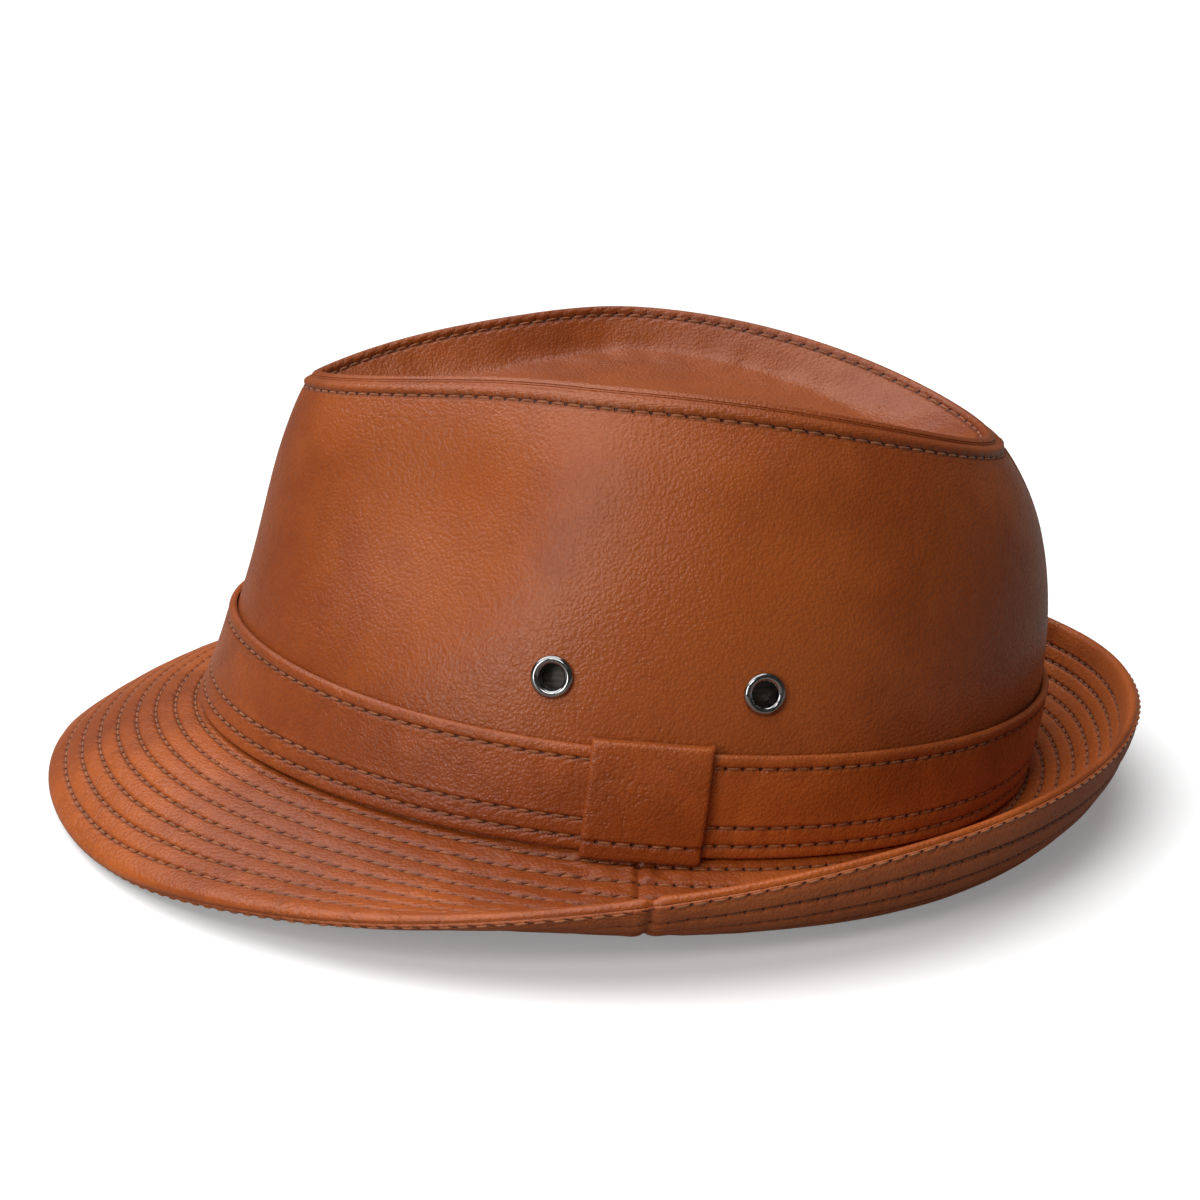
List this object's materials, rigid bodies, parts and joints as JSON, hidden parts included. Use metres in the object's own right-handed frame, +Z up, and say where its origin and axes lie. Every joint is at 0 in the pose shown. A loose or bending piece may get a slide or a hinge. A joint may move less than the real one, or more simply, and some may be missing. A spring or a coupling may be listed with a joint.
{
  "type": "leather trilby hat",
  "caption": "Short-brimmed leather hat with a pinched teardrop crown, a leather hatband with a keeper, vent eyelets and a row-stitched brim turned up behind.",
  "frame": {"origin": "centre of the bounding box's bottom face, on the table the hat rests on", "axes": "+Z up, -Y towards the front of the hat, +X towards the wearer's left"},
  "size_m": [0.265, 0.2796, 0.11],
  "materials": {
    "crown_leather": "cognac sheep leather, fine pebble grain, satin",
    "band_leather": "cognac leather with folded and stitched edges, satin",
    "brim_leather": "cognac leather, quilted by rows of stitching, satin",
    "under_leather": "cognac leather, row stitched, a little duller",
    "stiffener_fabric": "fused interlining",
    "lining_fabric": "dark satin lining",
    "sweatband_fabric": "ribbed ribbon",
    "eyelet_metal": "polished gunmetal plating"
  },
  "bodies": {
    "root": {"crown_side": "crown_leather", "crown_tip": "crown_leather", "hatband": "band_leather", "band_keeper": "band_leather", "brim_top_front": "brim_leather", "brim_top_rear": "brim_leather", "brim_under_front": "under_leather", "brim_under_rear": "under_leather", "brim_stiffener": "stiffener_fabric", "crown_side_interlining": "stiffener_fabric", "crown_tip_interlining": "stiffener_fabric", "lining_side": "lining_fabric", "lining_tip": "lining_fabric", "sweatband": "sweatband_fabric", "sweatband_tape": "sweatband_fabric", "eyelet_left_front": "eyelet_metal", "eyelet_left_rear": "eyelet_metal", "eyelet_right_front": "eyelet_metal", "eyelet_right_rear": "eyelet_metal", "eyelet_washer_left_front": "eyelet_metal", "eyelet_washer_left_rear": "eyelet_metal", "eyelet_washer_right_front": "eyelet_metal", "eyelet_washer_right_rear": "eyelet_metal"}
  },
  "joints": []
}
